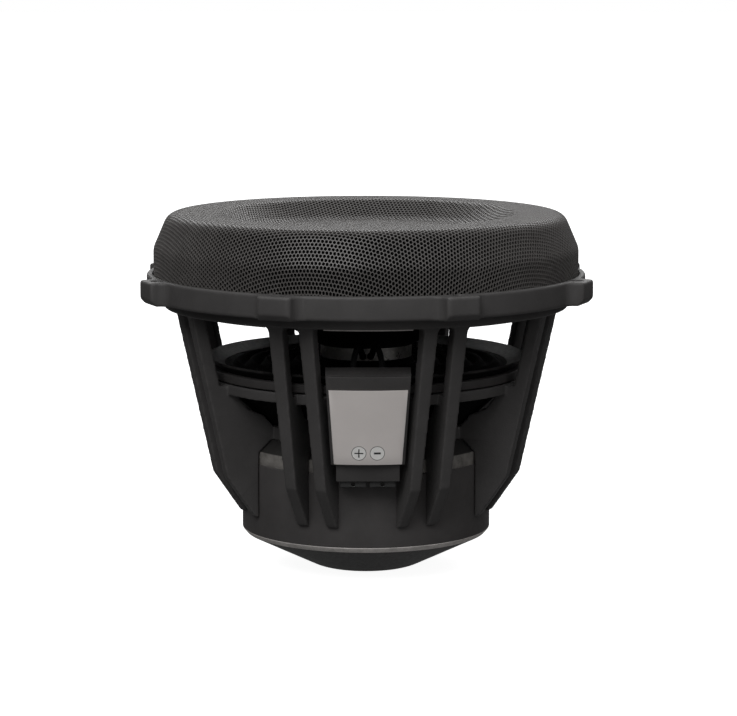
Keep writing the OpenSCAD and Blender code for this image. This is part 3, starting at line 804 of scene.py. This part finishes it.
def make_surround():
    """A half roll between the cone's rim and its lip, which is clamped on the basket."""
    roll_in, roll_out, steps = 99.5, 135.5, 36
    middle, radius = (roll_in + roll_out) / 2, (roll_out - roll_in) / 2
    rim_top = CONE_RIM_Z + CONE_T + GLUE + SURROUND_T
    lip_top = 6 + CLAMP_FIT + SURROUND_T
    drop = rim_top - lip_top
    roll = [
        (middle + radius * math.cos(a), rim_top - drop * i / steps + radius * math.sin(a))
        for i, a in enumerate(np.linspace(math.pi, 0, steps + 1))
    ]
    inside = [(CONE_R - 3, rim_top), (CONE_R - 1.5, rim_top)]
    line = np.array(inside + roll + [(139, lip_top), (143.6, lip_top)])
    between(wall(line, SURROUND_T), "surround_roll", "surround", "surround_rubber", 138, 99)


def make_spiders():
    """Two corrugated cloth discs, clamped outside and glued to the former by a collar."""
    pitch, swing, collar_h = 10.2, 2.6, 5
    first_r, last_r, edge_r = 36, 96.6, 103.6
    glue_r = FORMER_R + GLUE
    upper_z = SHELF_Z + SPIDER_T + 3 * CLAMP_FIT + SPACER_H
    for name, flange_z in (("spider_upper", upper_z), ("spider_lower", SHELF_Z + CLAMP_FIT)):
        mid = flange_z + SPIDER_T
        radii = np.linspace(first_r, last_r, 110)
        fade = np.minimum(1, np.minimum((last_r - radii) / 5, (radii - first_r + 1) / 4))
        waves = mid + swing * fade * np.sin(2 * math.pi * (radii - first_r) / pitch)
        top = [(glue_r, mid + collar_h), (glue_r + SPIDER_T, mid + collar_h), (FORMER_R + 1.2, mid + 1)]
        top += list(zip(radii, waves)) + [(edge_r, mid)]
        low = [(r, z - SPIDER_T) for r, z in top[:2:-1]] + [(glue_r, mid - SPIDER_T)]
        between(np.array(top + low), name + "_cloth", name, "spider_cloth", 97, 37)


# Route of the lead on the +X side of the front block, from inside its block to the former
LEAD_ROUTE = [
    (10, -103, -39.4), (10, -99.6, -39.4), (9.9, -97, -38.4), (9.3, -93, -34), (8.1, -88, -29),
    (6.6, -81, -26.4), (5.3, -73, -27), (4.2, -64, -30.5), (3.3, -54, -34.8), (2.7, -44, -37.8),
    (2.5, -37, -38.6), (2.5, -32.4, -38.6),
]


def smooth_route(points, per_span):
    """A smooth curve through the points."""
    p = np.asarray(points, float)
    q = np.pad(p, ((1, 2), (0, 0)), mode="edge")
    out = []
    for i in range(len(p) - 1):
        a, b, c, d = q[i:i + 4]
        for t in np.arange(per_span) / per_span:
            bend = (2 * a - 5 * b + 4 * c - d) * t ** 2 + (3 * b - a - 3 * c + d) * t ** 3
            out.append(0.5 * (2 * b + (c - a) * t + bend))
    out.append(p[-1])
    return np.array(out)


def tube(name, route, radius, sides):
    """A tube along a route, with a UV map in metres."""
    t = np.gradient(route, axis=0)
    t /= np.linalg.norm(t, axis=1)[:, None]
    side = np.cross(t, [1.0, 0, 0])
    side /= np.linalg.norm(side, axis=1)[:, None]
    up = np.cross(t, side)
    a = 2 * np.pi * np.arange(sides) / sides
    ring = side[:, None] * np.cos(a)[None, :, None] + up[:, None] * np.sin(a)[None, :, None]
    points = (route[:, None] + radius * ring).reshape(-1, 3)
    rows = len(route)
    faces = [
        (i * sides + k, i * sides + n, (i + 1) * sides + n, (i + 1) * sides + k)
        for i in range(rows - 1) for k, n in zip(range(sides), [*range(1, sides), 0])
    ]
    length = np.concatenate([[0], np.cumsum(np.linalg.norm(np.diff(route, axis=0), axis=1))]) * MM
    girth = 2 * math.pi * radius * MM
    flat = []
    for i in range(rows - 1):
        for k in range(sides):
            u0, u1 = girth * k / sides, girth * (k + 1) / sides
            flat += [u0, length[i], u1, length[i], u1, length[i + 1], u0, length[i + 1]]
    faces += [tuple(range(sides))[::-1], tuple((rows - 1) * sides + k for k in range(sides))]
    flat += [0, 0] * (2 * sides)
    mesh = mesh_of(name, points, faces)
    mesh.uv_layers.new(name="tube").data.foreach_set("uv", flat)
    return add(name, close_up(mesh, 0))


def make_leads():
    """Sleeved leads from the blocks to the former, blended between the two ends that are held."""
    radius, per_span, held_to, held_from = 2.02, 8, 10, -12
    for side, turn in SIDES.items():
        for pole, sign in POLES.items():
            route = smooth_route(LEAD_ROUTE, per_span) * np.array([sign * turn, turn, 1])
            name = f"lead_{side}_{pole}"
            piece = tube(f"{name}_sleeve", route, radius, 20)
            smooth(piece, 60)
            piece.data.materials.append(MATERIALS["lead_sleeve"])
            start, end = route[held_to] * MM, route[held_from] * MM
            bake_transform(piece, FRAME_BODY, CONE_BODY, start=start, end=end)
            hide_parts(name)


# ---------- Turned and moulded parts ----------

def make_cone():
    over, rim_r = CONE_T / math.cos(CONE_ANGLE), CONE_R + 1.5
    line = rounded([
        (FORMER_R + GLUE, NECK[1], 0), (NECK[0], NECK[1], 0), (CONE_R, CONE_RIM_Z, 3),
        (rim_r, CONE_RIM_Z, 0), (rim_r, CONE_RIM_Z + CONE_T, 0),
        (CONE_R - 0.3, CONE_RIM_Z + CONE_T, 3), (FORMER_R + GLUE, NECK[1] + over, 0),
    ], 6)
    piece = lathe("cone_body", line)
    smooth(piece)
    finish_piece(piece, CONE_BODY, MATERIALS["cone_black"], ["cone"])


def make_dust_cap():
    cap_r, top_z = 61, 6
    over = CONE_T / math.cos(CONE_ANGLE)
    foot_z = NECK[1] + (cap_r - FORMER_R) * math.tan(CONE_ANGLE) + over + 0.1
    rise = top_z - foot_z
    dome_r = (cap_r ** 2 + rise ** 2) / (2 * rise)
    angles = np.linspace(0, math.asin(cap_r / dome_r), 48)
    line = np.stack([dome_r * np.sin(angles), top_z - dome_r * (1 - np.cos(angles))], axis=1)
    piece = lathe("dust_cap_dome", wall(line, 1))
    smooth(piece)
    finish_piece(piece, CONE_BODY, MATERIALS["cone_black"], ["dust_cap"])


def make_dust_screen():
    """Black cloth between the fins, from the spider shelf down to the seat."""
    line = rounded([(97.95, -59, 0), (97.95, -62.4, 1), (72.6, -85.95, 0)], 6)
    piece = lathe("dust_screen_cloth", wall(line, SCREEN_T))
    smooth(piece)
    finish_piece(piece, FRAME_BODY, MATERIALS["screen_cloth"], ["dust_screen"])


def edge_rounding():
    """Radius that each rigid CAD node's edges are rounded with."""
    widths = {
        "bore_ring": 0.15, "grille_seal": 0.3, "surround_clamp_ring": 0.3, "spider_clamp_ring": 0.4,
        "spider_spacer": 0.2, "top_plate": 0.5, "magnet_upper": 0.8, "magnet_lower": 0.8,
        "motor_cover": 0.25, "back_plate": 0.2, "pole_piece": 0.3, "shorting_ring": 0.3,
        "bottom_cap": 0.3, "vent_screen": 0.12, "motor_screws": 0.25, "coil_former": 0.05,
        "winding_inner": 0.2, "winding_outer": 0.2,
    }
    block = {
        "terminal_housing": 0.5, "terminal_cover": 0.45, "label_plate": 0.15,
        "terminal_contacts": 0.1, "terminal_screws": 0.2, "lead_bushings": 0.3,
    }
    for side in SIDES:
        widths.update({f"{part}_{side}": width for part, width in block.items()})
        widths.update({f"push_tab_{side}_{pole}": 0.4 for pole in POLES})
    return widths


def make_rigid_parts():
    """The CAD's rigid parts, each with its edges rounded."""
    for node, width in edge_rounding().items():
        slot_name = SLOT_OF[node]
        body = body_of(NODES[node])[0]
        piece = softened(node, f"{node}_part", width)
        finish_piece(piece, body, OWN_MATERIAL.get(node, MATERIALS[slot_name]), [node])


def make_springs():
    """Each coil spring is held by the contact strip above it and by the push tab below it."""
    tab_x, tab_r, top_z, bottom_z = 9.75, 99.2, -96.6, -102.7
    for side, turn in SIDES.items():
        for pole, sign in POLES.items():
            node = f"tab_spring_{side}_{pole}"
            piece = add(f"{node}_coil", NODES[node].data.copy())
            piece.data.materials.clear()
            piece.data.materials.append(MATERIALS["spring_steel"])
            smooth(piece, 75)
            x, y = sign * turn * tab_x, -turn * tab_r
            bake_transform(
                piece, FRAME_BODY, f"tab_{side}_{pole}",
                start=Vector((x, y, top_z)) * MM, end=Vector((x, y, bottom_z)) * MM,
            )
            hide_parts(node)


# ---------- Label ----------

FACE_TOP = (127, -39.4)
FACE_LOW = (110.2, -100.7)
LABEL_T = 0.8
MARK_T = 0.2


def on_label(x, z, proud):
    """A point of the label's curved face, in the front block's frame."""
    slope = (FACE_TOP[0] - FACE_LOW[0]) / (FACE_TOP[1] - FACE_LOW[1])
    r = FACE_LOW[0] + (z - FACE_LOW[1]) * slope + LABEL_T + proud
    return np.array([x, -math.sqrt(r * r - x * x), z])


def patch(outline, proud):
    """Points and faces of a thin raised patch on the label, from an outline of (x, z)."""
    count = len(outline)
    points = [on_label(x, z, height) for height in (proud, proud - MARK_T) for x, z in outline]
    faces = [tuple(range(count)), tuple(range(2 * count - 1, count - 1, -1))]
    faces += [(i, i + count, (i + 1) % count + count, (i + 1) % count) for i in range(count)]
    return points, faces


def label_piece(name, outlines, turn, proud, material):
    """One piece from several outlines, on the front block's label or the rear one's."""
    points, faces = [], []
    for outline in outlines:
        p, f = patch(outline, proud)
        faces += [tuple(i + len(points) for i in face) for face in f]
        points += p
    mesh = mesh_of(name, np.array(points) * np.array([turn, turn, 1]), faces)
    finish_piece(add(name, close_up(mesh, 0)), FRAME_BODY, material)


def disc(x, z, radius, steps=48):
    angles = np.linspace(0, 2 * math.pi, steps, endpoint=False)
    return [(x + radius * math.cos(a), z + radius * math.sin(a)) for a in angles]


def bar(x, z, width, height):
    corners = [(-1, -1), (1, -1), (1, 1), (-1, 1)]
    return [(x + a * width / 2, z + b * height / 2) for a, b in corners]


def cross(x, z, size, thick):
    s, t = size / 2, thick / 2
    quarter = [(s, -t), (s, t), (t, t), (t, s)]
    outline = []
    for _ in range(4):
        outline += quarter[1:]
        quarter = [(-b, a) for a, b in quarter]
    return [(x + a, z + b) for a, b in outline]


def make_label_marks():
    """Plain plus and minus marks, in white discs with dark rings."""
    mark_x, mark_z = 6.07, -92.05
    ring_r, disc_r = 4.95, 4.6
    for side, turn in SIDES.items():
        places = [(-mark_x, mark_z), (mark_x, mark_z)]
        rings = [disc(x, z, ring_r) for x, z in places]
        discs = [disc(x, z, disc_r) for x, z in places]
        marks = [cross(-mark_x, mark_z, 5.8, 0.8), bar(mark_x, mark_z, 4.5, 1.3)]
        label_piece(f"label_rings_{side}", rings, turn, 0.04, DARK_INK)
        label_piece(f"label_discs_{side}", discs, turn, 0.08, WHITE_INK)
        label_piece(f"label_marks_{side}", marks, turn, 0.12, DARK_INK)


make_camera()
make_stage()
make_basket()
make_grille()
make_grille_lining()
make_surround()
make_spiders()
make_leads()
make_cone()
make_dust_cap()
make_dust_screen()
make_rigid_parts()
make_springs()
make_label_marks()
